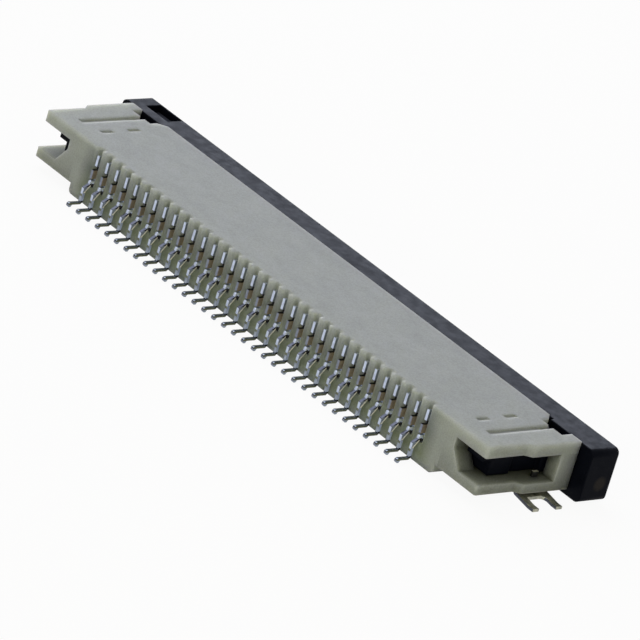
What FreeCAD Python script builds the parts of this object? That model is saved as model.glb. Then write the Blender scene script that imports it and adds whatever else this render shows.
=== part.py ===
import FreeCAD, Part
import math
import os

V = FreeCAD.Vector

# The frame of this file: x runs along the contact row, y runs from the housing's
# rear face (0) to its front, and z runs up from the circuit board (0). Every part
# is built there and moved to the shared frame as it is exported.

# How far a cutting solid runs past the face that it opens.
OVERCUT = 0.30

# Contact row and the flexible circuit it takes.
PITCH = 1.00
COUNT = 34
CIRCUIT_WIDTH = (COUNT + 1) * PITCH
CIRCUIT_THICK = 0.30
BLADE = 0.20

# Housing: outer block.
TOP = 3.85
DEPTH = 7.15
STANDOFF = 0.05
CORE_HALF = CIRCUIT_WIDTH / 2 + 0.75
CORE_CORNER = 0.30
END_HALF = CORE_HALF + 3.80
END_UNDER = 0.70
STEP_OUT = 0.35
STEP_START = 3.00
STEP_END = STEP_START + 0.45
CORNER = 0.12

# Housing: pocket for the latch arm in each end block.
SHELF_TOP = END_UNDER + 0.62
ROOF_UNDER = TOP - 0.73
WALL_END = CORE_HALF + 1.10
WALL_BACK = 1.30
POCKET_WALL = WALL_END - 0.15
CATCH_Y = DEPTH - 2.45
PASSAGE_IN = CORE_HALF + 1.27
PASSAGE_OUT = PASSAGE_IN + 1.88
PILLAR_BACK = DEPTH - 1.40
GUSSET_OUT = WALL_END + 0.85
GUSSET_TOP = SHELF_TOP + 1.14
WELD = 0.10

# Housing: brow along the front of the roof, which overhangs a rebate in the slider.
BROW_REACH = 0.25
BROW_DEEP = 0.55
BROW_CORNER = 0.50
BROW_HALF = PASSAGE_IN
BROW_FRONT = DEPTH + BROW_REACH
BROW_LOW = TOP - BROW_DEEP

# Housing: marks in the top plate over each latch arm.
NOTCH_BACK = DEPTH - 0.80
SLIT_IN = PASSAGE_IN + 0.60
SLIT_OUT = SLIT_IN + 0.46
SLIT_BACK = NOTCH_BACK - 0.80
GROOVE_BACK = 1.35
GROOVE_DEEP = 0.15
RECESS_X = CORE_HALF + 0.53
RECESS_WIDE = 0.36
RECESS_LONG = 0.95
RECESS_DEEP = 0.12
RECESS_Y = (2.28, 4.45)

# Housing: mouth for the circuit, and one slot and one rear channel per contact.
MOUTH_HALF = CIRCUIT_WIDTH / 2 + 0.15
MOUTH_FLOOR = 1.74
MOUTH_ROOF = TOP - 0.95
MOUTH_BACK = DEPTH - 4.55
SLOT_WIDE = BLADE + 0.02
SLOT_FLOOR = MOUTH_FLOOR - 0.49
SLOT_ROOF = MOUTH_ROOF + 0.40
SLOT_FRONT = DEPTH - 0.55
CHANNEL_WIDE = 0.50
CHANNEL_DEEP = 0.40
CHANNEL_LEAD = 0.08

# Housing: pockets that thin the underside.
CORED_FRONT = DEPTH - 0.95
CORED_BACK = 0.90
CORED_DEEP = 0.45
CORED_COUNT = 4
CORED_RIB = 0.80

# Contact: stiff upper beam, and spring beam with the point that touches the circuit.
BEAM_LOW = MOUTH_ROOF - 0.04
BEAM_TIP = SLOT_FRONT - 0.25
BEAM_LEAD = 0.20
GRIP_START = 1.20
GRIP_DROP = 0.18
FORK_ROOT = MOUTH_BACK - 1.25
FORK_TAPER = 0.20
SPRING_ROOT = MOUTH_FLOOR - 0.04
SPRING_WAIST = SPRING_ROOT - 0.10
SPRING_HEEL = FORK_ROOT + 0.60
POINT_Y = MOUTH_BACK + 1.50
POINT_TOP = MOUTH_FLOOR + 0.26
POINT_HALF = 0.10
POINT_RAMP = 0.45
SPRING_TIP = POINT_Y + 0.60
SPRING_TIP_THICK = 0.20

# Contact: bar in the rear channel, and the stub left by the carrier strip.
BAR_FACE = 0.04
BAR_FRONT = CHANNEL_DEEP - 0.14
BAR_TOP = SLOT_ROOF + 0.11
BAR_LOW = BEAM_LOW - 0.19
STUB_FACE = -0.13
STUB_TOP = BAR_LOW - 0.21
STUB_LOW = STUB_TOP - 0.58
RELIEF_IN = BAR_FRONT + 0.02

# Contact: solder tail, from the hump behind the slot down to the pad.
HUMP_TOP = SLOT_FLOOR + 0.51
HUMP_THICK = 0.16
HUMP_LOW = HUMP_TOP - 0.26
HUMP_BACK_THICK = 0.12
ARCH_FRONT = 0.17
LEG_FACE = STUB_FACE - 0.37
LEG_THICK = 0.19
LEG_TOP = HUMP_LOW - 0.22
LEG_INNER_TOP = LEG_TOP - 0.30
TAIL_BEND = 0.14
FOOT_LOW = 0.15
FOOT_THICK = 0.14
PAD_Y = LEG_FACE - 0.75
PAD_RADIUS = 0.155
PAD_CORNER = 0.08

# Slider: bar with an ear at each end, circuit slot and the first circuit's mark.
EAR_REACH = 1.38
BAR_WIDE = 2.35
SLIDER_GAP = 0.10
SLIDER_HALF = END_HALF + EAR_REACH
SLIDER_BACK = DEPTH + SLIDER_GAP
SLIDER_FRONT = SLIDER_BACK + BAR_WIDE
SLIDER_TOP = TOP - 0.13
SLIDER_LOW = 0.25
SLIDER_CORNER = 0.38
SLIDER_BEVEL = 0.25
ENTRY_FLOOR = MOUTH_FLOOR + 0.02
ENTRY_LEAD = 0.45
MARK_INSET = 1.30
MARK_LONG = 2.25
MARK_WIDE = 1.20
MARK_WALL = 0.33
MARK_DEEP = 0.50
MARK_OUT = SLIDER_HALF - MARK_INSET
MARK_IN = MARK_OUT - MARK_LONG
MARK_FRONT = SLIDER_FRONT - MARK_WALL
MARK_BACK = MARK_FRONT - MARK_WIDE

# Slider: rebate under the housing's brow.
REBATE_HALF = BROW_HALF - BROW_CORNER + BROW_REACH + SLIDER_GAP
REBATE_FRONT = BROW_FRONT + SLIDER_GAP
REBATE_LOW = BROW_LOW - SLIDER_GAP

# Slider: tongue that presses the circuit onto the contacts.
TONGUE_HALF = CIRCUIT_WIDTH / 2
TONGUE_TOP = BEAM_LOW - 0.06
TONGUE_LOW = ENTRY_FLOOR + CIRCUIT_THICK + 0.06
TONGUE_SHORT = 0.60
TONGUE_TIP = MOUTH_BACK + TONGUE_SHORT
TONGUE_WEDGE = 0.60
TONGUE_NOSE = 0.22
TONGUE_BEVEL = 0.12

# Slider: latch arm, whose head meets the catch when the slider has moved by TRAVEL.
TRAVEL = 1.55
ARM_GAP = 0.10
ARM_TOP = ROOF_UNDER - ARM_GAP
ARM_LOW = SHELF_TOP + ARM_GAP
HEAD_BACK = WALL_BACK + 0.15
HEAD_FRONT = CATCH_Y - TRAVEL
HEAD_IN = PASSAGE_IN - 0.24
HEAD_OUT = PASSAGE_OUT - 0.25
HEAD_SPLIT = GUSSET_TOP - 0.08
LIP_REACH = 0.52
LIP_BACK = WALL_BACK - LIP_REACH
NECK_IN = PASSAGE_IN + 0.20
NECK_OUT = PASSAGE_OUT - 0.45
ROOT_BACK = PILLAR_BACK - 0.35
ROOT_GAP = 0.08

# Solder tab: strip folded from a pin in the shelf to a two-pronged foot.
TAB_THICK = 0.20
TAB_BACK = STEP_END + 0.27
PRONG_WIDE = 0.50
PRONG_GAP = 1.36
TAB_TIP = END_HALF + 1.35
TAB_PAD = 0.45
TAB_BEND = 0.22
TAB_HIGH = 0.22
CROTCH_X = END_HALF + 0.18
CROTCH_SWEEP = 0.40
PIN_WIDE = 0.45
PIN_X = PASSAGE_OUT + 0.05
PIN_TOP = SHELF_TOP + 0.35
PIN_PUSH = 0.01

# The box of the whole connector is centred on the shared frame's origin.
TAIL_REACH = PAD_RADIUS - PAD_Y
Y_SHIFT = (TAIL_REACH - SLIDER_FRONT) / 2


def box(x0, x1, y0, y1, z0, z1):
    return Part.makeBox(x1 - x0, y1 - y0, z1 - z0, V(x0, y0, z0))


def outline(points):
    """Closed wire through points (vector, corner radius); radius 0 is sharp."""
    edges = []
    last = None
    first = None
    count = len(points)
    for index, (corner, radius) in enumerate(points):
        before = points[index - 1][0]
        after = points[(index + 1) % count][0]
        to_before = (before - corner).normalize()
        to_after = (after - corner).normalize()
        half = to_before.getAngle(to_after) / 2
        reach = radius / math.tan(half)
        start = corner + to_before * reach
        end = corner + to_after * reach
        if last is None:
            first = start
        else:
            edges.append(Part.LineSegment(last, start).toShape())
        if radius > 0:
            inward = (to_before + to_after).normalize()
            middle = corner + inward * (radius / math.sin(half) - radius)
            edges.append(Part.Arc(start, middle, end).toShape())
        last = end
    edges.append(Part.LineSegment(last, first).toShape())
    return Part.Wire(edges)


def prism_yz(points, x0, x1):
    """Solid from (y, z, corner radius) points, between x0 and x1."""
    wire = outline([(V(x0, y, z), radius) for y, z, radius in points])
    return Part.Face(wire).extrude(V(x1 - x0, 0, 0))


def prism_xz(points, y0, y1):
    """Solid from (x, z, corner radius) points, between y0 and y1."""
    wire = outline([(V(x, y0, z), radius) for x, z, radius in points])
    return Part.Face(wire).extrude(V(0, y1 - y0, 0))


def prism_xy(points, z0, z1):
    """Solid from (x, y, corner radius) points, between z0 and z1."""
    wire = outline([(V(x, y, z0), radius) for x, y, radius in points])
    return Part.Face(wire).extrude(V(0, 0, z1 - z0))


def mirrored(shape):
    return shape.mirror(V(0, 0, 0), V(1, 0, 0))


def both_ends(shapes):
    """The shapes built for the +x end, and their mirror images."""
    return shapes + [mirrored(shape) for shape in shapes]


def contact_x(index):
    return (index - (COUNT - 1) / 2) * PITCH


def end_plan(inner):
    """Plan of an end block from x = inner out to the stepped end face."""
    stepped = END_HALF + STEP_OUT
    return [
        (inner, 0, 0),
        (END_HALF, 0, CORNER),
        (END_HALF, STEP_START, 0),
        (stepped, STEP_END, CORNER),
        (stepped, DEPTH, CORNER),
        (inner, DEPTH, 0),
    ]


def housing_block():
    section = [
        (-CORE_HALF, STANDOFF, CORE_CORNER),
        (CORE_HALF, STANDOFF, CORE_CORNER),
        (CORE_HALF, TOP, 0),
        (-CORE_HALF, TOP, 0),
    ]
    core = prism_xz(section, 0, DEPTH)
    brow = box(-BROW_HALF, BROW_HALF, DEPTH - WELD, BROW_FRONT, BROW_LOW, TOP)
    end = prism_xy(end_plan(CORE_HALF - 1), END_UNDER, TOP)
    return core.multiFuse([brow] + both_ends([end])).removeSplitter()


def end_pocket():
    """Room for the latch arm: open to the side, to the rear and to the front."""
    outside = END_HALF + STEP_OUT + OVERCUT
    front = DEPTH + OVERCUT
    rear = box(WALL_END, outside, -OVERCUT, WALL_BACK, SHELF_TOP, ROOF_UNDER)
    middle = box(POCKET_WALL, outside, WALL_BACK, CATCH_Y, SHELF_TOP, ROOF_UNDER)
    side = box(PASSAGE_IN, outside, CATCH_Y, PILLAR_BACK, SHELF_TOP, ROOF_UNDER)
    passage = box(PASSAGE_IN, PASSAGE_OUT, PILLAR_BACK, front, SHELF_TOP, ROOF_UNDER)
    return rear.multiFuse([middle, side, passage])


def gusset():
    """Rib that ties the shelf to the end of the rear wall."""
    section = [
        (WALL_END - WELD, SHELF_TOP - WELD, 0),
        (GUSSET_OUT, SHELF_TOP - WELD, 0),
        (GUSSET_OUT, SHELF_TOP, 0),
        (WALL_END, GUSSET_TOP, 0),
        (WALL_END - WELD, GUSSET_TOP, 0),
    ]
    return prism_xz(section, 0, WALL_BACK)


def brow_corner():
    """Cutter that takes the corner off the end of the brow."""
    out = BROW_HALF + OVERCUT
    front = BROW_FRONT + OVERCUT
    plan = [
        (out, BROW_FRONT - BROW_CORNER - OVERCUT, 0),
        (out, front, 0),
        (BROW_HALF - BROW_CORNER - OVERCUT, front, 0),
    ]
    return prism_xy(plan, BROW_LOW, TOP + OVERCUT)


def top_marks():
    """Notch, slit and groove over the latch arm, and two short recesses."""
    over = TOP + OVERCUT
    under = ROOF_UNDER - OVERCUT
    notch = box(PASSAGE_IN, PASSAGE_OUT, NOTCH_BACK, DEPTH + OVERCUT, under, over)
    slit = box(SLIT_IN, SLIT_OUT, SLIT_BACK, NOTCH_BACK, under, over)
    groove = box(SLIT_IN, SLIT_OUT, GROOVE_BACK, SLIT_BACK, TOP - GROOVE_DEEP, over)
    x0 = RECESS_X - RECESS_WIDE / 2
    x1 = RECESS_X + RECESS_WIDE / 2
    recesses = []
    for y in RECESS_Y:
        y0 = y - RECESS_LONG / 2
        recesses.append(box(x0, x1, y0, y0 + RECESS_LONG, TOP - RECESS_DEEP, over))
    return [notch.multiFuse([slit, groove])] + recesses


def pin_slot():
    """Slot in the shelf for the solder tab's pin, which its edges grip."""
    x0 = PIN_X - PIN_PUSH
    x1 = PIN_X + TAB_THICK + PIN_PUSH
    y0 = tab_middle() - PIN_WIDE / 2
    return box(x0, x1, y0, y0 + PIN_WIDE, END_UNDER - OVERCUT, SHELF_TOP + OVERCUT)


def cell_cuts(x):
    """Rear channel with its lead-in, and the slot that holds one contact."""
    half = CHANNEL_WIDE / 2
    flared = half + CHANNEL_LEAD
    plan = [
        (x - flared, -OVERCUT, 0),
        (x + flared, -OVERCUT, 0),
        (x + flared, 0, 0),
        (x + half, CHANNEL_LEAD, 0),
        (x + half, CHANNEL_DEEP, 0),
        (x - half, CHANNEL_DEEP, 0),
        (x - half, CHANNEL_LEAD, 0),
        (x - flared, 0, 0),
    ]
    channel = prism_xy(plan, SLOT_FLOOR, TOP + OVERCUT)
    side = SLOT_WIDE / 2
    slot = box(x - side, x + side, CHANNEL_DEEP, SLOT_FRONT, SLOT_FLOOR, SLOT_ROOF)
    return [channel, slot]


def cored_underside():
    """Pockets in the underside, parted by ribs."""
    span = CIRCUIT_WIDTH - CORED_RIB
    long = (span - (CORED_COUNT - 1) * CORED_RIB) / CORED_COUNT
    top = STANDOFF + CORED_DEEP
    cuts = []
    for index in range(CORED_COUNT):
        x = -span / 2 + index * (long + CORED_RIB)
        cuts.append(box(x, x + long, CORED_BACK, CORED_FRONT, -OVERCUT, top))
    return cuts


def make_housing():
    front = DEPTH + OVERCUT
    mouth = box(-MOUTH_HALF, MOUTH_HALF, MOUTH_BACK, front, MOUTH_FLOOR, MOUTH_ROOF)
    cuts = both_ends([end_pocket(), brow_corner(), pin_slot()] + top_marks())
    cuts += cored_underside()
    cuts.append(mouth)
    for index in range(COUNT):
        cuts += cell_cuts(contact_x(index))
    block = housing_block().cut(cuts)
    return block.multiFuse(both_ends([gusset()])).removeSplitter()


def fork_points():
    """Front part of the contact, from the bar's top round to the slot floor."""
    return [
        (BAR_FACE, BAR_TOP, 0),
        (BAR_FRONT, BAR_TOP, 0),
        (BAR_FRONT, SLOT_ROOF - GRIP_DROP, 0),
        (GRIP_START, SLOT_ROOF, 0),
        (BEAM_TIP - BEAM_LEAD, SLOT_ROOF, 0),
        (BEAM_TIP, SLOT_ROOF - BEAM_LEAD, 0),
        (BEAM_TIP, BEAM_LOW, 0),
        (FORK_ROOT + FORK_TAPER, BEAM_LOW, 0),
        (FORK_ROOT, SPRING_ROOT, 0),
        (POINT_Y - POINT_RAMP, SPRING_WAIST, 0),
        (POINT_Y - POINT_HALF, POINT_TOP, 0),
        (POINT_Y + POINT_HALF, POINT_TOP, 0),
        (SPRING_TIP, SPRING_ROOT, 0),
        (SPRING_TIP, SPRING_ROOT - SPRING_TIP_THICK, 0),
        (SPRING_HEEL, SLOT_FLOOR, 0),
    ]


def tail_points():
    """Rear part of the contact: solder tail, carrier stub and bar."""
    arch_top = HUMP_TOP - HUMP_THICK
    arch_back = STUB_FACE + HUMP_BACK_THICK
    leg_inner = LEG_FACE + LEG_THICK
    foot_top = FOOT_LOW + FOOT_THICK
    pad_front = PAD_Y + PAD_RADIUS
    pad_back = PAD_Y - PAD_RADIUS
    pad_top = 2 * PAD_RADIUS
    return [
        (ARCH_FRONT, SLOT_FLOOR, 0),
        (ARCH_FRONT, arch_top, 0),
        (arch_back, arch_top, 0),
        (arch_back, HUMP_LOW - HUMP_BACK_THICK, 0),
        (leg_inner, LEG_INNER_TOP, 0),
        (leg_inner, FOOT_LOW + TAIL_BEND, 0),
        (leg_inner - TAIL_BEND, FOOT_LOW, 0),
        (pad_front, FOOT_LOW, 0),
        (pad_front - PAD_CORNER, 0, 0),
        (pad_back + PAD_CORNER, 0, 0),
        (pad_back, PAD_CORNER, 0),
        (pad_back, pad_top, TAIL_BEND),
        (pad_front, foot_top, 0),
        (LEG_FACE, foot_top, 0),
        (LEG_FACE, LEG_TOP, 0),
        (STUB_FACE, HUMP_LOW, 0),
        (STUB_FACE, HUMP_TOP, TAIL_BEND),
        (RELIEF_IN, HUMP_TOP, 0),
        (RELIEF_IN, STUB_LOW, 0),
        (STUB_FACE, STUB_LOW, 0),
        (STUB_FACE, STUB_TOP, 0),
        (RELIEF_IN, STUB_TOP, 0),
        (RELIEF_IN, BAR_LOW, 0),
        (BAR_FACE, BAR_LOW, 0),
    ]


def make_contact(x):
    return prism_yz(fork_points() + tail_points(), x - BLADE / 2, x + BLADE / 2)


def slider_body():
    """Bar with rounded corners and a bevelled front, before the circuit slot is cut."""
    section = [
        (-SLIDER_HALF, SLIDER_LOW, SLIDER_CORNER),
        (SLIDER_HALF, SLIDER_LOW, SLIDER_CORNER),
        (SLIDER_HALF, SLIDER_TOP, SLIDER_CORNER),
        (-SLIDER_HALF, SLIDER_TOP, SLIDER_CORNER),
    ]
    bar = prism_xz(section, SLIDER_BACK, SLIDER_FRONT)
    front = []
    for edge in bar.Edges:
        if edge.BoundBox.YMin > SLIDER_FRONT - SLIDER_BEVEL:
            front.append(edge)
    return bar.makeChamfer(SLIDER_BEVEL, front)


def circuit_slot():
    """Slot through the bar, flared at the front to guide the circuit in."""
    flare = SLIDER_FRONT - ENTRY_LEAD
    section = [
        (SLIDER_BACK - OVERCUT, ENTRY_FLOOR, 0),
        (flare, ENTRY_FLOOR, 0),
        (SLIDER_FRONT + OVERCUT, ENTRY_FLOOR - ENTRY_LEAD - OVERCUT, 0),
        (SLIDER_FRONT + OVERCUT, TONGUE_LOW + ENTRY_LEAD + OVERCUT, 0),
        (flare, TONGUE_LOW, 0),
        (SLIDER_BACK - OVERCUT, TONGUE_LOW, 0),
    ]
    return prism_yz(section, -MOUTH_HALF, MOUTH_HALF)


def tongue():
    """Wedge-tipped plate over the circuit."""
    bevel_end = TONGUE_TOP - TONGUE_BEVEL
    section = [
        (SLIDER_BACK + WELD, TONGUE_LOW, 0),
        (SLIDER_BACK + WELD, TONGUE_TOP, 0),
        (TONGUE_TIP + TONGUE_BEVEL, TONGUE_TOP, 0),
        (TONGUE_TIP, bevel_end, 0),
        (TONGUE_TIP, bevel_end - TONGUE_NOSE, 0),
        (TONGUE_TIP + TONGUE_WEDGE, TONGUE_LOW, 0),
    ]
    return prism_yz(section, -TONGUE_HALF, TONGUE_HALF)


def latch_arm():
    """Arm with a thick head that catches on the housing when the slider is open."""
    root_in = PASSAGE_IN + ROOT_GAP
    root_out = PASSAGE_OUT - ROOT_GAP
    root = box(root_in, root_out, ROOT_BACK, SLIDER_BACK + WELD, ARM_LOW, ARM_TOP)
    neck = box(NECK_IN, NECK_OUT, HEAD_FRONT, ROOT_BACK, ARM_LOW, ARM_TOP)
    head = box(HEAD_IN, HEAD_OUT, HEAD_BACK, HEAD_FRONT, ARM_LOW, HEAD_SPLIT)
    lip = box(NECK_IN, HEAD_OUT, LIP_BACK, HEAD_FRONT, HEAD_SPLIT, ARM_TOP)
    return root.multiFuse([neck, head, lip]).removeSplitter()


def first_circuit_mark():
    """Pocket in the top of the -x ear, over the end of the row where counting starts."""
    floor = SLIDER_TOP - MARK_DEEP
    over = SLIDER_TOP + OVERCUT
    return box(-MARK_OUT, -MARK_IN, MARK_BACK, MARK_FRONT, floor, over)


def brow_rebate():
    back = SLIDER_BACK - OVERCUT
    over = SLIDER_TOP + OVERCUT
    return box(-REBATE_HALF, REBATE_HALF, back, REBATE_FRONT, REBATE_LOW, over)


def make_slider():
    body = slider_body().cut([circuit_slot(), brow_rebate(), first_circuit_mark()])
    return body.multiFuse([tongue()] + both_ends([latch_arm()])).removeSplitter()


def tab_middle():
    return TAB_BACK + PRONG_WIDE + PRONG_GAP / 2


def make_tab():
    """Solder tab of the +x end: a pin gripped by the shelf and a two-pronged foot."""
    front = TAB_BACK + 2 * PRONG_WIDE + PRONG_GAP
    pin_out = PIN_X + TAB_THICK
    pad_start = TAB_TIP - TAB_PAD
    side = [
        (PIN_X, PIN_TOP, 0),
        (PIN_X, TAB_HIGH, TAB_BEND),
        (pad_start, 0, 0),
        (TAB_TIP, 0, 0),
        (TAB_TIP, TAB_THICK, 0),
        (pad_start, TAB_THICK, 0),
        (pin_out, TAB_HIGH + TAB_THICK, 0),
        (pin_out, PIN_TOP, 0),
    ]
    strip = prism_xz(side, TAB_BACK, front)
    pin_back = tab_middle() - PIN_WIDE / 2
    pin_front = tab_middle() + PIN_WIDE / 2
    x0 = PIN_X - OVERCUT
    x1 = pin_out + OVERCUT
    top = PIN_TOP + OVERCUT
    behind_pin = box(x0, x1, TAB_BACK - OVERCUT, pin_back, END_UNDER, top)
    before_pin = box(x0, x1, pin_front, front + OVERCUT, END_UNDER, top)
    tip = TAB_TIP + OVERCUT
    gap_plan = [
        (CROTCH_X, TAB_BACK + PRONG_WIDE, 0),
        (tip, TAB_BACK + PRONG_WIDE, 0),
        (tip, front - PRONG_WIDE, 0),
        (CROTCH_X, front - PRONG_WIDE, CROTCH_SWEEP),
    ]
    gap = prism_xy(gap_plan, -OVERCUT, END_UNDER)
    return strip.cut([behind_pin, before_pin, gap])


def export(name, shape):
    placed = shape.copy()
    placed.translate(V(0, Y_SHIFT, 0))
    placed.exportStep("parts/" + name + ".step")


def main():
    os.makedirs("parts", exist_ok=True)
    export("housing", make_housing())
    export("slider", make_slider())
    tab = make_tab()
    export("solder_tab_right", tab)
    export("solder_tab_left", mirrored(tab))
    for index in range(COUNT):
        export("contact_%02d" % (index + 1), make_contact(contact_x(index)))


main()
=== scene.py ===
import math

import bpy
from mathutils import Matrix, Vector

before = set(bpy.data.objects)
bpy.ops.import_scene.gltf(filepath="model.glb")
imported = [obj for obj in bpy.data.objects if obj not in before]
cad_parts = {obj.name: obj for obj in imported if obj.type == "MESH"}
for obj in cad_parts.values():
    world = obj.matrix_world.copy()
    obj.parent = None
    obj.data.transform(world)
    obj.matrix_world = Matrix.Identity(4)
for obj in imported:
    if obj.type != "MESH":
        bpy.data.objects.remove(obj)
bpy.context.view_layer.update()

MM = 0.001
WHITE = (1.0, 1.0, 1.0)
BLACK = (0.0, 0.0, 0.0)

# Camera: a long lens, its focal length in the photo's pixels, turned off the row's normal,
# above it and rolled. The clips are in metres.
PHOTO_PIXELS = 640
FOCAL_PIXELS = 6694.0
SENSOR_MM = 36.0
TARGET = Vector((2.513, -0.640, 1.740)) * MM
DISTANCE = 402.8 * MM
AZIMUTH = math.radians(44.48)
ELEVATION = math.radians(22.62)
ROLL = math.radians(16.80)
CLIP_NEAR = 0.01
CLIP_FAR = 20.0

# Floor: half its side in metres, its gap below the pads, how much of what is seen is its
# own white, and the tone that it bounces on to the object.
FLOOR_HALF = 3.0
FLOOR_DROP = 0.01 * MM
FLOOR_WHITE = 0.93
FLOOR_TONE = (0.66, 0.66, 0.66)
FLOOR_SURFACE = {"Roughness": 0.9, "Specular IOR Level": 0}

# Light from all round, and the lamps: place and side in metres, power in watts.
AMBIENT = 0.34
AMBIENT_TINT = (1.0, 0.99, 0.88)
KEY = {"place": (-0.18, 0.03, 0.24), "side": 0.29, "power": 0.44, "colour": (0.86, 0.88, 1.0)}
SHEEN = {"place": (-0.54, 0.56, 0.30), "side": 0.38, "power": 2.10, "colour": (0.75, 0.82, 1.0)}
FILL = {"place": (0.14, -0.26, 0.06), "side": 0.16, "power": 0.37, "colour": (1.0, 1.0, 0.76)}

# Rounded edges, cut by modifiers where faces meet more sharply than the angle. A weld that
# reaches less than a micrometre joins the CAD's faces first.
HOUSING_EDGE = 0.06 * MM
SLIDER_EDGE = 0.06 * MM
CONTACT_EDGE = 0.02 * MM
TAB_EDGE = 0.03 * MM
SHARP = math.radians(35)
WELD_REACH = 0.0001 * MM

# Wider soft band at the resins' edges, in the shading alone.
HOUSING_SOFT = 0.46 * MM
SLIDER_SOFT = 0.16 * MM
SOFT_SAMPLES = 6

# A face is square to an axis where its normal's part along that axis is above this.
SQUARE = 0.75

# Housing resin: clouds of flow marks, specks as a share of their colour, a fine grain, and
# the surface. Light spreads in it by millimetres, the blue less than the rest.
HOUSING_CLOUD_SIZE = 1.6 * MM
HOUSING_CLOUD_SQUEEZE = (1, 1.5, 1.5)
HOUSING_CLOUDS = [
    (0.30, (0.348, 0.366, 0.364)),
    (0.50, (0.372, 0.390, 0.390)),
    (0.72, (0.396, 0.414, 0.416)),
]
HOUSING_SPECK_SIZE = 0.10 * MM
HOUSING_SPECKS = [(0.35, (0.86, 0.86, 0.84)), (0.62, WHITE)]
HOUSING_GRAIN_SIZE = 0.06 * MM
HOUSING_GRAIN_DEPTH = 0.004 * MM
HOUSING_SURFACE = {
    "Subsurface Weight": 1,
    "Subsurface Scale": 2.50 * MM,
    "Subsurface Radius": (1.0, 1.0, 0.7),
    "Roughness": 0.62,
    "Specular IOR Level": 0.15,
}

# Rear wall between the contacts, painted darker and greener as painted shade among the contacts.
# The painted shade starts to fade past the last contact and down a channel, and then is gone.
SLOTTED_HALF = 16.9 * MM
SLOTTED_END = 17.9 * MM
WALL_FACE = -4.10 * MM
WALL_DEEP = -3.60 * MM

# Painted shade on the rear wall: the share of the resin's own colour that it keeps, by height in
# mm.
WALL_PAINTED_SHADES = [
    (0.05, (0.92, 0.97, 0.88)),
    (0.70, (0.60, 0.64, 0.46)),
    (2.20, (0.41, 0.44, 0.42)),
    (3.50, (0.73, 0.75, 0.78)),
    (3.84, (0.86, 0.88, 0.90)),
]

# End pockets, painted darker deep inside as painted shade near the slider's arm: where they are,
# how near the arm has to be, and the share of its own colour that the resin keeps, by openness.
POCKET_INNER = 18.5 * MM
POCKET_ROOF = 3.1 * MM
POCKET_REACH = 3.0 * MM
POCKET_SAMPLES = 8
POCKET_PAINTED_SHADES = [(0.15, (0.20, 0.20, 0.14)), (0.90, WHITE)]

# Slider resin: faint clouds, satin patches of roughness, a fine grain, and a weak bluish
# gloss.
SLIDER_CLOUD_SIZE = 1.1 * MM
SLIDER_CLOUDS = [
    (0.30, (0.0016, 0.0020, 0.0042)),
    (0.70, (0.0028, 0.0034, 0.0066)),
]
SLIDER_SATIN_SIZE = 0.5 * MM
SLIDER_SATIN = [
    (0.30, (0.40, 0.40, 0.40)),
    (0.70, (0.54, 0.54, 0.54)),
]
SLIDER_GRAIN_SIZE = 0.05 * MM
SLIDER_GRAIN_DEPTH = 0.003 * MM
SLIDER_SURFACE = {"Specular IOR Level": 0.035, "Specular Tint": (0.84, 0.89, 1.0, 1)}

# Gate mark on the slider's end face, a disc that fades out toward its rim.
GATE_Y = 4.45 * MM
GATE_Z = 1.48 * MM
GATE_RADIUS = 0.55 * MM
GATE_FADE = [(0.55, WHITE), (1.0, BLACK)]
GATE_TONE = (0.022, 0.019, 0.018)

# Floor of the slider's marking pocket, and any face that looks up below this height, painted
# lighter as a painted sheen.
MARKING_TOP = 3.6 * MM
MARKING_PAINTED_SHEEN = (0.048, 0.052, 0.070)

# How strongly the grain of the resins and the rolling marks of the metal show.
GRAIN_STRENGTH = 0.5
ROLLING_STRENGTH = 0.35

# Rolled strip: fine marks, drawn out along the strip, and what they add to its roughness.
ROLLING_SIZE = 0.05 * MM
ROLLING_SQUEEZE = (1, 0.12, 1)
ROLLING_DEPTH = 0.002 * MM
ROLLING_ROUGHNESS = 0.18

# Tones of the strip: painted glints and highlights, the plain tin, painted shades down to black,
# a painted olive reflection, a painted cream highlight, the sheared edges darkened as painted
# shade, and the bare alloy's own colour.
TIN_PAINTED_GLINT = (0.85, 0.90, 0.95)
TIN_PAINTED_HIGHLIGHT = (0.52, 0.58, 0.71)
TIN_SATIN = (0.34, 0.38, 0.44)
TIN_PAINTED_HALF_SHADE = (0.20, 0.22, 0.27)
TIN_SHADED = (0.10, 0.11, 0.14)
PAINTED_BLACK_SHADE = (0.015, 0.015, 0.015)
PAINTED_OLIVE_REFLECTION = (0.15, 0.16, 0.11)
PAINTED_CREAM_HIGHLIGHT = (1.00, 0.96, 0.84)
SHEARED_EDGE_PAINTED_SHADE = (0.06, 0.065, 0.085)
BARE_ALLOY = (0.42, 0.35, 0.26)

# Contacts: roughness, what their sheared sides add to it, and a mottle over their finish.
CONTACT_ROUGHNESS = 0.24
SIDE_ROUGHNESS = 0.36
MOTTLE_SIZE = 0.20 * MM
MOTTLE = [(0.35, (0.78, 0.78, 0.80)), (0.62, WHITE)]

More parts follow.
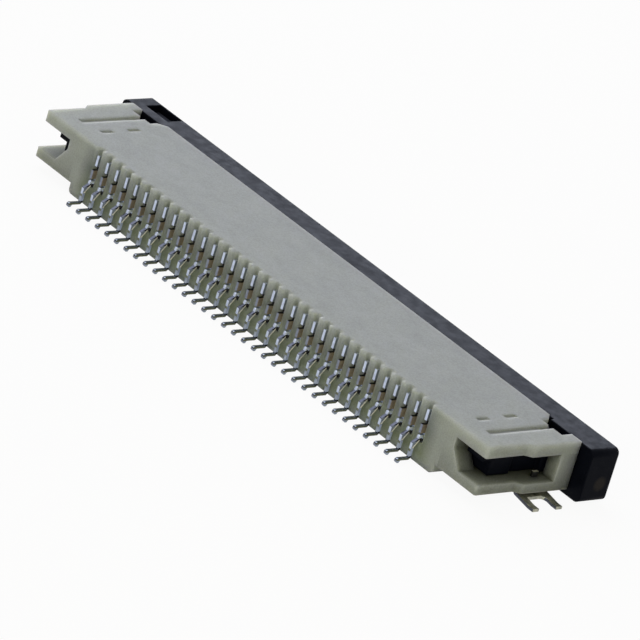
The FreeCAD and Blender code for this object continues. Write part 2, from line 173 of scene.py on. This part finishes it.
# Painted highlights and shades of a contact from the foot up, with the bare alloy on the flat
# sides, each held from its height in mm to the next: on the faces that look to the rear or the
# front, on the flat sides, and on all the others.
ROW_PAINTED_LIGHT = [
    (0.00, TIN_PAINTED_HALF_SHADE),
    (0.20, PAINTED_BLACK_SHADE),
    (0.34, TIN_SATIN),
    (0.68, PAINTED_OLIVE_REFLECTION),
    (0.83, TIN_PAINTED_HIGHLIGHT),
    (1.25, PAINTED_BLACK_SHADE),
    (1.50, TIN_PAINTED_HIGHLIGHT),
    (1.80, TIN_PAINTED_HALF_SHADE),
    (2.44, PAINTED_BLACK_SHADE),
    (2.70, TIN_PAINTED_HIGHLIGHT),
]
SIDE_ALLOY_AND_PAINTED_LIGHT = [
    (0.00, TIN_SATIN),
    (0.14, PAINTED_OLIVE_REFLECTION),
    (0.26, PAINTED_BLACK_SHADE),
    (0.38, TIN_PAINTED_HIGHLIGHT),
    (0.88, TIN_SATIN),
    (1.34, PAINTED_BLACK_SHADE),
    (1.52, TIN_PAINTED_GLINT),
    (1.80, BARE_ALLOY),
    (2.44, PAINTED_BLACK_SHADE),
    (2.70, TIN_SATIN),
]
TOP_PAINTED_LIGHT = [
    (0.00, TIN_SATIN),
    (1.10, TIN_SHADED),
    (1.56, TIN_PAINTED_HIGHLIGHT),
    (1.80, PAINTED_BLACK_SHADE),
    (2.70, TIN_PAINTED_HIGHLIGHT),
]

# Height in mm that the colours by height are spread over.
TONE_TOP = 4.0

# Painted highlight along the inner edge of a contact's hump: the edge's middle and slope, and
# how far the highlight reaches above and below the edge, and above and below the middle.
HIGHLIGHT_LINE_Y = -4.257 * MM
HIGHLIGHT_LINE_Z = 1.18 * MM
HIGHLIGHT_LINE_SLOPE = 1.33
HIGHLIGHT_LINE_WIDTH = 0.16 * MM
HIGHLIGHT_LINE_RISE = 0.26 * MM

# Solder tabs: worn plating, and the height above which only the pin stands.
TAB_ROUGHNESS = 0.36
TAB_METALLIC = 0.75
TAB_WEAR_SIZE = 0.35 * MM
TAB_WEAR = [(0.35, (0.22, 0.23, 0.20)), (0.62, (0.46, 0.45, 0.36))]
PIN_FROM = 0.6 * MM


def add_camera():
    """Camera that looks at the target from the photo's angle, rolled about its own view."""
    back = Vector((
        math.cos(ELEVATION) * math.sin(AZIMUTH),
        -math.cos(ELEVATION) * math.cos(AZIMUTH),
        math.sin(ELEVATION),
    ))
    level = Vector((math.cos(AZIMUTH), math.sin(AZIMUTH), 0))
    above = back.cross(level)
    right = level * math.cos(ROLL) + above * math.sin(ROLL)
    up = back.cross(right)
    turn = Matrix((right, up, back)).transposed().to_4x4()
    data = bpy.data.cameras.new("photo_camera")
    data.sensor_width = SENSOR_MM
    data.lens = FOCAL_PIXELS / PHOTO_PIXELS * SENSOR_MM
    data.clip_start = CLIP_NEAR
    data.clip_end = CLIP_FAR
    camera = bpy.data.objects.new("photo_camera", data)
    camera.matrix_world = Matrix.Translation(TARGET + back * DISTANCE) @ turn
    bpy.context.scene.collection.objects.link(camera)
    bpy.context.scene.camera = camera


def new_material(name):
    """A material with its node tree and principled shader."""
    material = bpy.data.materials.new(name)
    material.use_nodes = True
    tree = material.node_tree
    return material, tree, tree.nodes["Principled BSDF"]


def set_surface(shader, surface):
    """Plain values, straight on the shader's own sockets."""
    for name, value in surface.items():
        shader.inputs[name].default_value = value


def math_node(tree, operation, *values):
    """Result of a sum on outputs and plain numbers."""
    node = tree.nodes.new("ShaderNodeMath")
    node.operation = operation
    for socket, value in zip(node.inputs, values):
        if isinstance(value, (int, float)):
            socket.default_value = value
        else:
            tree.links.new(value, socket)
    return node.outputs["Value"]


def mix_colour(tree, factor, first, second, blend="MIX"):
    """Mix of two colours, each an output or a plain colour."""
    node = tree.nodes.new("ShaderNodeMix")
    node.data_type = "RGBA"
    node.blend_type = blend
    for name, value in (("Factor", factor), ("A", first), ("B", second)):
        socket = next(s for s in node.inputs if s.name == name and s.enabled)
        if isinstance(value, tuple):
            socket.default_value = (*value, 1)
        elif isinstance(value, (int, float)):
            socket.default_value = value
        else:
            tree.links.new(value, socket)
    return next(s for s in node.outputs if s.enabled)


def multiply(tree, first, second):
    """Product of two colours."""
    return mix_colour(tree, 1.0, first, second, "MULTIPLY")


def shade_by(tree, colour, share, shade):
    """The colour, times the shade as far as the share goes."""
    return multiply(tree, colour, mix_colour(tree, share, WHITE, shade))


def ramp(tree, value, stops, interpolation="LINEAR"):
    """Colour ramp over (position, colour) stops."""
    node = tree.nodes.new("ShaderNodeValToRGB")
    node.color_ramp.interpolation = interpolation
    elements = node.color_ramp.elements
    elements[0].position = stops[0][0]
    elements[0].color = (*stops[0][1], 1)
    elements[1].position = stops[-1][0]
    elements[1].color = (*stops[-1][1], 1)
    for position, colour in stops[1:-1]:
        elements.new(position).color = (*colour, 1)
    tree.links.new(value, node.inputs["Fac"])
    return node.outputs["Color"]


def coordinate(tree, kind):
    """Texture coordinate of that kind: the place on the piece, or the face's normal."""
    return tree.nodes.new("ShaderNodeTexCoord").outputs[kind]


def axis(tree, vector, letter):
    """One part of a vector."""
    node = tree.nodes.new("ShaderNodeSeparateXYZ")
    tree.links.new(vector, node.inputs["Vector"])
    return node.outputs[letter]


def place_along(tree, letter):
    """Place on the piece along that axis, in metres."""
    return axis(tree, coordinate(tree, "Object"), letter)


def off_middle(tree):
    """How far the place is from the middle of the row, to either side."""
    return math_node(tree, "ABSOLUTE", place_along(tree, "X"))


def looks_along(tree, letter):
    """1 on faces that look along that axis, 0 on the others."""
    part = axis(tree, coordinate(tree, "Normal"), letter)
    return math_node(tree, "GREATER_THAN", part, SQUARE)


def square_to(tree, letter):
    """1 on faces that look along that axis or against it, 0 on the others."""
    part = axis(tree, coordinate(tree, "Normal"), letter)
    return math_node(tree, "GREATER_THAN", math_node(tree, "ABSOLUTE", part), SQUARE)


def fade(tree, value, full, gone):
    """1 up to one place, then down to 0 at a farther one."""
    left = math_node(tree, "SUBTRACT", gone, value)
    share = math_node(tree, "DIVIDE", left, gone - full)
    return math_node(tree, "MAXIMUM", math_node(tree, "MINIMUM", share, 1), 0)


def tones(tree, heights, interpolation="CONSTANT"):
    """Colour by the height above the board."""
    share = math_node(tree, "DIVIDE", place_along(tree, "Z"), TONE_TOP * MM)
    stops = [(low / TONE_TOP, colour) for low, colour in heights]
    return ramp(tree, share, stops, interpolation)


def noise(tree, size, detail=3.0, squeeze=(1, 1, 1)):
    """Noise with grains of about that size in metres, divided by the squeeze on each axis."""
    mapping = tree.nodes.new("ShaderNodeMapping")
    mapping.inputs["Scale"].default_value = squeeze
    tree.links.new(coordinate(tree, "Object"), mapping.inputs["Vector"])
    node = tree.nodes.new("ShaderNodeTexNoise")
    node.inputs["Scale"].default_value = 1 / size
    node.inputs["Detail"].default_value = detail
    tree.links.new(mapping.outputs["Vector"], node.inputs["Vector"])
    return node.outputs["Fac"]


def soft_edges(tree, radius):
    """Normal that rounds the edges in the shading alone."""
    node = tree.nodes.new("ShaderNodeBevel")
    node.samples = SOFT_SAMPLES
    node.inputs["Radius"].default_value = radius
    return node.outputs["Normal"]


def bump(tree, shader, height, depth, strength, normal=None):
    """Fine relief of that depth, over the given normal where there is one."""
    node = tree.nodes.new("ShaderNodeBump")
    if normal is not None:
        tree.links.new(normal, node.inputs["Normal"])
    node.inputs["Distance"].default_value = depth
    node.inputs["Strength"].default_value = strength
    tree.links.new(height, node.inputs["Height"])
    tree.links.new(node.outputs["Normal"], shader.inputs["Normal"])


def openness(tree, reach):
    """1 on open faces, down to 0 deep between near ones."""
    node = tree.nodes.new("ShaderNodeAmbientOcclusion")
    node.samples = POCKET_SAMPLES
    node.inputs["Distance"].default_value = reach
    return node.outputs["AO"]


def slotted_wall(tree):
    """1 on the rear wall between the contacts, less past the last one and down a channel."""
    along = fade(tree, off_middle(tree), SLOTTED_HALF, SLOTTED_END)
    inward = fade(tree, place_along(tree, "Y"), WALL_FACE, WALL_DEEP)
    return math_node(tree, "MULTIPLY", along, inward)


def end_pocket(tree):
    """1 under the roofs of the housing's two ends."""
    outside = math_node(tree, "GREATER_THAN", off_middle(tree), POCKET_INNER)
    under = math_node(tree, "LESS_THAN", place_along(tree, "Z"), POCKET_ROOF)
    return math_node(tree, "MULTIPLY", outside, under)


def housing_resin():
    """Translucent grey resin: cloudy flow marks, a fine spark-eroded grain, and painted shade on
    the rear wall and in the end pockets.
    """
    material, tree, shader = new_material("housing_resin")
    clouds = noise(tree, HOUSING_CLOUD_SIZE, detail=4.0, squeeze=HOUSING_CLOUD_SQUEEZE)
    specks = noise(tree, HOUSING_SPECK_SIZE, detail=2.0)
    colour = ramp(tree, clouds, HOUSING_CLOUDS)
    colour = multiply(tree, colour, ramp(tree, specks, HOUSING_SPECKS))
    # Painted shade on the rear wall between the contacts, by height.
    painted_wall_shade = tones(tree, WALL_PAINTED_SHADES, "LINEAR")
    colour = shade_by(tree, colour, slotted_wall(tree), painted_wall_shade)
    # Painted shade deep in the end pockets, by how open each face is.
    painted_pocket_shade = ramp(tree, openness(tree, POCKET_REACH), POCKET_PAINTED_SHADES)
    colour = shade_by(tree, colour, end_pocket(tree), painted_pocket_shade)
    tree.links.new(colour, shader.inputs["Base Color"])
    set_surface(shader, HOUSING_SURFACE)
    normal = soft_edges(tree, HOUSING_SOFT)
    grain = noise(tree, HOUSING_GRAIN_SIZE)
    bump(tree, shader, grain, HOUSING_GRAIN_DEPTH, GRAIN_STRENGTH, normal)
    return material


def gate_mark(tree):
    """Share of the scuffed disc that the sheared gate leaves on the slider's end face."""
    along = math_node(tree, "SUBTRACT", place_along(tree, "Y"), GATE_Y)
    above = math_node(tree, "SUBTRACT", place_along(tree, "Z"), GATE_Z)
    squares = [math_node(tree, "POWER", offset, 2) for offset in (along, above)]
    radius = math_node(tree, "SQRT", math_node(tree, "ADD", *squares))
    disc = ramp(tree, math_node(tree, "DIVIDE", radius, GATE_RADIUS), GATE_FADE)
    return math_node(tree, "MULTIPLY", disc, looks_along(tree, "X"))


def marking_floor(tree):
    """1 on the slider's faces that look up from below its top."""
    low = math_node(tree, "LESS_THAN", place_along(tree, "Z"), MARKING_TOP)
    return math_node(tree, "MULTIPLY", low, looks_along(tree, "Z"))


def slider_resin():
    """Black resin, slightly blue in the light, with the mould's fine satin grain."""
    material, tree, shader = new_material("slider_resin")
    colour = ramp(tree, noise(tree, SLIDER_CLOUD_SIZE, detail=4.0), SLIDER_CLOUDS)
    colour = mix_colour(tree, gate_mark(tree), colour, GATE_TONE)
    # Painted sheen: the floor of the marking pocket is painted lighter.
    colour = mix_colour(tree, marking_floor(tree), colour, MARKING_PAINTED_SHEEN)
    tree.links.new(colour, shader.inputs["Base Color"])
    rough = ramp(tree, noise(tree, SLIDER_SATIN_SIZE), SLIDER_SATIN)
    tree.links.new(rough, shader.inputs["Roughness"])
    set_surface(shader, SLIDER_SURFACE)
    normal = soft_edges(tree, SLIDER_SOFT)
    grain = noise(tree, SLIDER_GRAIN_SIZE)
    bump(tree, shader, grain, SLIDER_GRAIN_DEPTH, GRAIN_STRENGTH, normal)
    return material


def rolled_strip(name, roughness, side_roughness=0):
    """Metal with fine rolling marks, and with rougher sides where that is asked for."""
    material, tree, shader = new_material(name)
    shader.inputs["Metallic"].default_value = 1
    marks = noise(tree, ROLLING_SIZE, detail=2.0, squeeze=ROLLING_SQUEEZE)
    rough = math_node(tree, "MULTIPLY_ADD", marks, ROLLING_ROUGHNESS, roughness)
    if side_roughness:
        rough = math_node(tree, "MULTIPLY_ADD", square_to(tree, "X"), side_roughness, rough)
    tree.links.new(rough, shader.inputs["Roughness"])
    bump(tree, shader, marks, ROLLING_DEPTH, ROLLING_STRENGTH)
    return material, tree, shader


def painted_highlight_line(tree):
    """1 on the painted highlight along the inner edge of the hump."""
    height = place_along(tree, "Z")
    run = math_node(tree, "SUBTRACT", place_along(tree, "Y"), HIGHLIGHT_LINE_Y)
    edge = math_node(tree, "MULTIPLY_ADD", run, HIGHLIGHT_LINE_SLOPE, HIGHLIGHT_LINE_Z)
    beside = math_node(tree, "COMPARE", height, edge, HIGHLIGHT_LINE_WIDTH)
    within = math_node(tree, "COMPARE", height, HIGHLIGHT_LINE_Z, HIGHLIGHT_LINE_RISE)
    return math_node(tree, "MULTIPLY", beside, within)


def contact_tin():
    """Tin with painted highlights and shades by height, the bare alloy of the sheared sides, and
    a painted highlight along the hump's inner edge.
    """
    material, tree, shader = rolled_strip("contact_tin", CONTACT_ROUGHNESS, SIDE_ROUGHNESS)
    # Painted highlights, glints, shades and reflections by height on each kind of face; the flat
    # sides keep the bare alloy's own colour in their band.
    row = tones(tree, ROW_PAINTED_LIGHT)
    # Painted cream highlight along the inner edge of the hump.
    side = mix_colour(tree, painted_highlight_line(tree), tones(tree, SIDE_ALLOY_AND_PAINTED_LIGHT), PAINTED_CREAM_HIGHLIGHT)
    colour = mix_colour(tree, square_to(tree, "Y"), tones(tree, TOP_PAINTED_LIGHT), row)
    colour = mix_colour(tree, square_to(tree, "X"), colour, side)
    mottle = ramp(tree, noise(tree, MOTTLE_SIZE), MOTTLE)
    tree.links.new(multiply(tree, colour, mottle), shader.inputs["Base Color"])
    return material


def tab_tin():
    """Duller, slightly yellow plating, with sheared edges darkened as painted shade, and a pin
    with painted shade on its sides and a painted glint on its top.
    """
    material, tree, shader = rolled_strip("tab_tin", TAB_ROUGHNESS)
    shader.inputs["Metallic"].default_value = TAB_METALLIC
    plating = ramp(tree, noise(tree, TAB_WEAR_SIZE), TAB_WEAR)
    # Bare sheared edges facing front and rear, darkened as painted shade.
    foot = mix_colour(tree, square_to(tree, "Y"), plating, SHEARED_EDGE_PAINTED_SHADE)
    # Pin: painted shade on its sides and a painted glint on its top.
    pin = mix_colour(tree, looks_along(tree, "Z"), PAINTED_BLACK_SHADE, PAINTED_CREAM_HIGHLIGHT)
    high = math_node(tree, "GREATER_THAN", place_along(tree, "Z"), PIN_FROM)
    tree.links.new(mix_colour(tree, high, foot, pin), shader.inputs["Base Color"])
    return material


def dress(node, material, edge, segments=2):
    """Material and rounded edges for a CAD node, whose own mesh stays as it is."""
    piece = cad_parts[node]
    for slot in piece.material_slots:
        slot.material = material
    weld = piece.modifiers.new("join_faces", "WELD")
    weld.merge_threshold = WELD_REACH
    soften = piece.modifiers.new("rounded_edges", "BEVEL")
    soften.width = edge
    soften.segments = segments
    soften.limit_method = "ANGLE"
    soften.angle_limit = SHARP
    soften.use_clamp_overlap = True
    soften.harden_normals = False
    soften.loop_slide = False


def dress_nodes():
    """Every CAD node in the material and with the rounding of its kind."""
    resin = housing_resin()
    black = slider_resin()
    tin = contact_tin()
    tab = tab_tin()
    dress("housing", resin, HOUSING_EDGE)
    dress("slider", black, SLIDER_EDGE)
    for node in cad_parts:
        if node.startswith("contact_"):
            dress(node, tin, CONTACT_EDGE, segments=1)
        if node.startswith("solder_tab_"):
            dress(node, tab, TAB_EDGE)


def seen_directly(tree):
    """1 for camera, glossy and transmission rays, 0 for the rest."""
    path = tree.nodes.new("ShaderNodeLightPath").outputs
    seen = math_node(tree, "MAXIMUM", path["Is Camera Ray"], path["Is Glossy Ray"])
    return math_node(tree, "MAXIMUM", seen, path["Is Transmission Ray"])


def floor_white():
    """Mostly its own white where it is seen, and a plain grey floor for the other rays."""
    material, tree, shader = new_material("floor_white")
    seen = seen_directly(tree)
    tone = mix_colour(tree, seen, FLOOR_TONE, WHITE)
    tree.links.new(tone, shader.inputs["Base Color"])
    set_surface(shader, FLOOR_SURFACE)
    glow = tree.nodes.new("ShaderNodeEmission")
    mix = tree.nodes.new("ShaderNodeMixShader")
    share = math_node(tree, "MULTIPLY", seen, FLOOR_WHITE)
    tree.links.new(share, mix.inputs["Fac"])
    tree.links.new(shader.outputs["BSDF"], mix.inputs[1])
    tree.links.new(glow.outputs["Emission"], mix.inputs[2])
    out = tree.nodes["Material Output"]
    tree.links.new(mix.outputs["Shader"], out.inputs["Surface"])
    return material


def add_floor():
    """White floor just below the pads, which keeps the object's soft shadow."""
    half = FLOOR_HALF
    corners = [(-half, -half, 0), (half, -half, 0), (half, half, 0), (-half, half, 0)]
    mesh = bpy.data.meshes.new("floor")
    mesh.from_pydata(corners, [], [(0, 1, 2, 3)])
    mesh.materials.append(floor_white())
    floor = bpy.data.objects.new("floor", mesh)
    floor.location.z = -FLOOR_DROP
    bpy.context.scene.collection.objects.link(floor)


def add_world():
    """White where it is seen, dimmer and slightly warm as a light."""
    world = bpy.data.worlds.new("studio")
    world.use_nodes = True
    bpy.context.scene.world = world
    tree = world.node_tree
    dim = tuple(AMBIENT * part for part in AMBIENT_TINT)
    light = mix_colour(tree, seen_directly(tree), dim, WHITE)
    tree.links.new(light, tree.nodes["Background"].inputs["Color"])


def add_softbox(name, place, side, power, colour):
    """Square area lamp that looks at the object."""
    data = bpy.data.lights.new(name, "AREA")
    data.shape = "SQUARE"
    data.size = side
    data.energy = power
    data.color = colour
    lamp = bpy.data.objects.new(name, data)
    lamp.location = place
    lamp.rotation_euler = (-Vector(place)).to_track_quat("-Z", "Y").to_euler()
    bpy.context.scene.collection.objects.link(lamp)
    return lamp


def add_lamps():
    """Key from above, sheen for the gloss alone, and a low fill on the contacts' side."""
    add_softbox("key", **KEY)
    sheen = add_softbox("sheen", **SHEEN)
    sheen.visible_diffuse = False
    add_softbox("fill", **FILL)


def set_colour():
    """Plain display of the colours, without a film curve."""
    bpy.context.scene.view_settings.view_transform = "Standard"


add_camera()
dress_nodes()
add_floor()
add_world()
add_lamps()
set_colour()
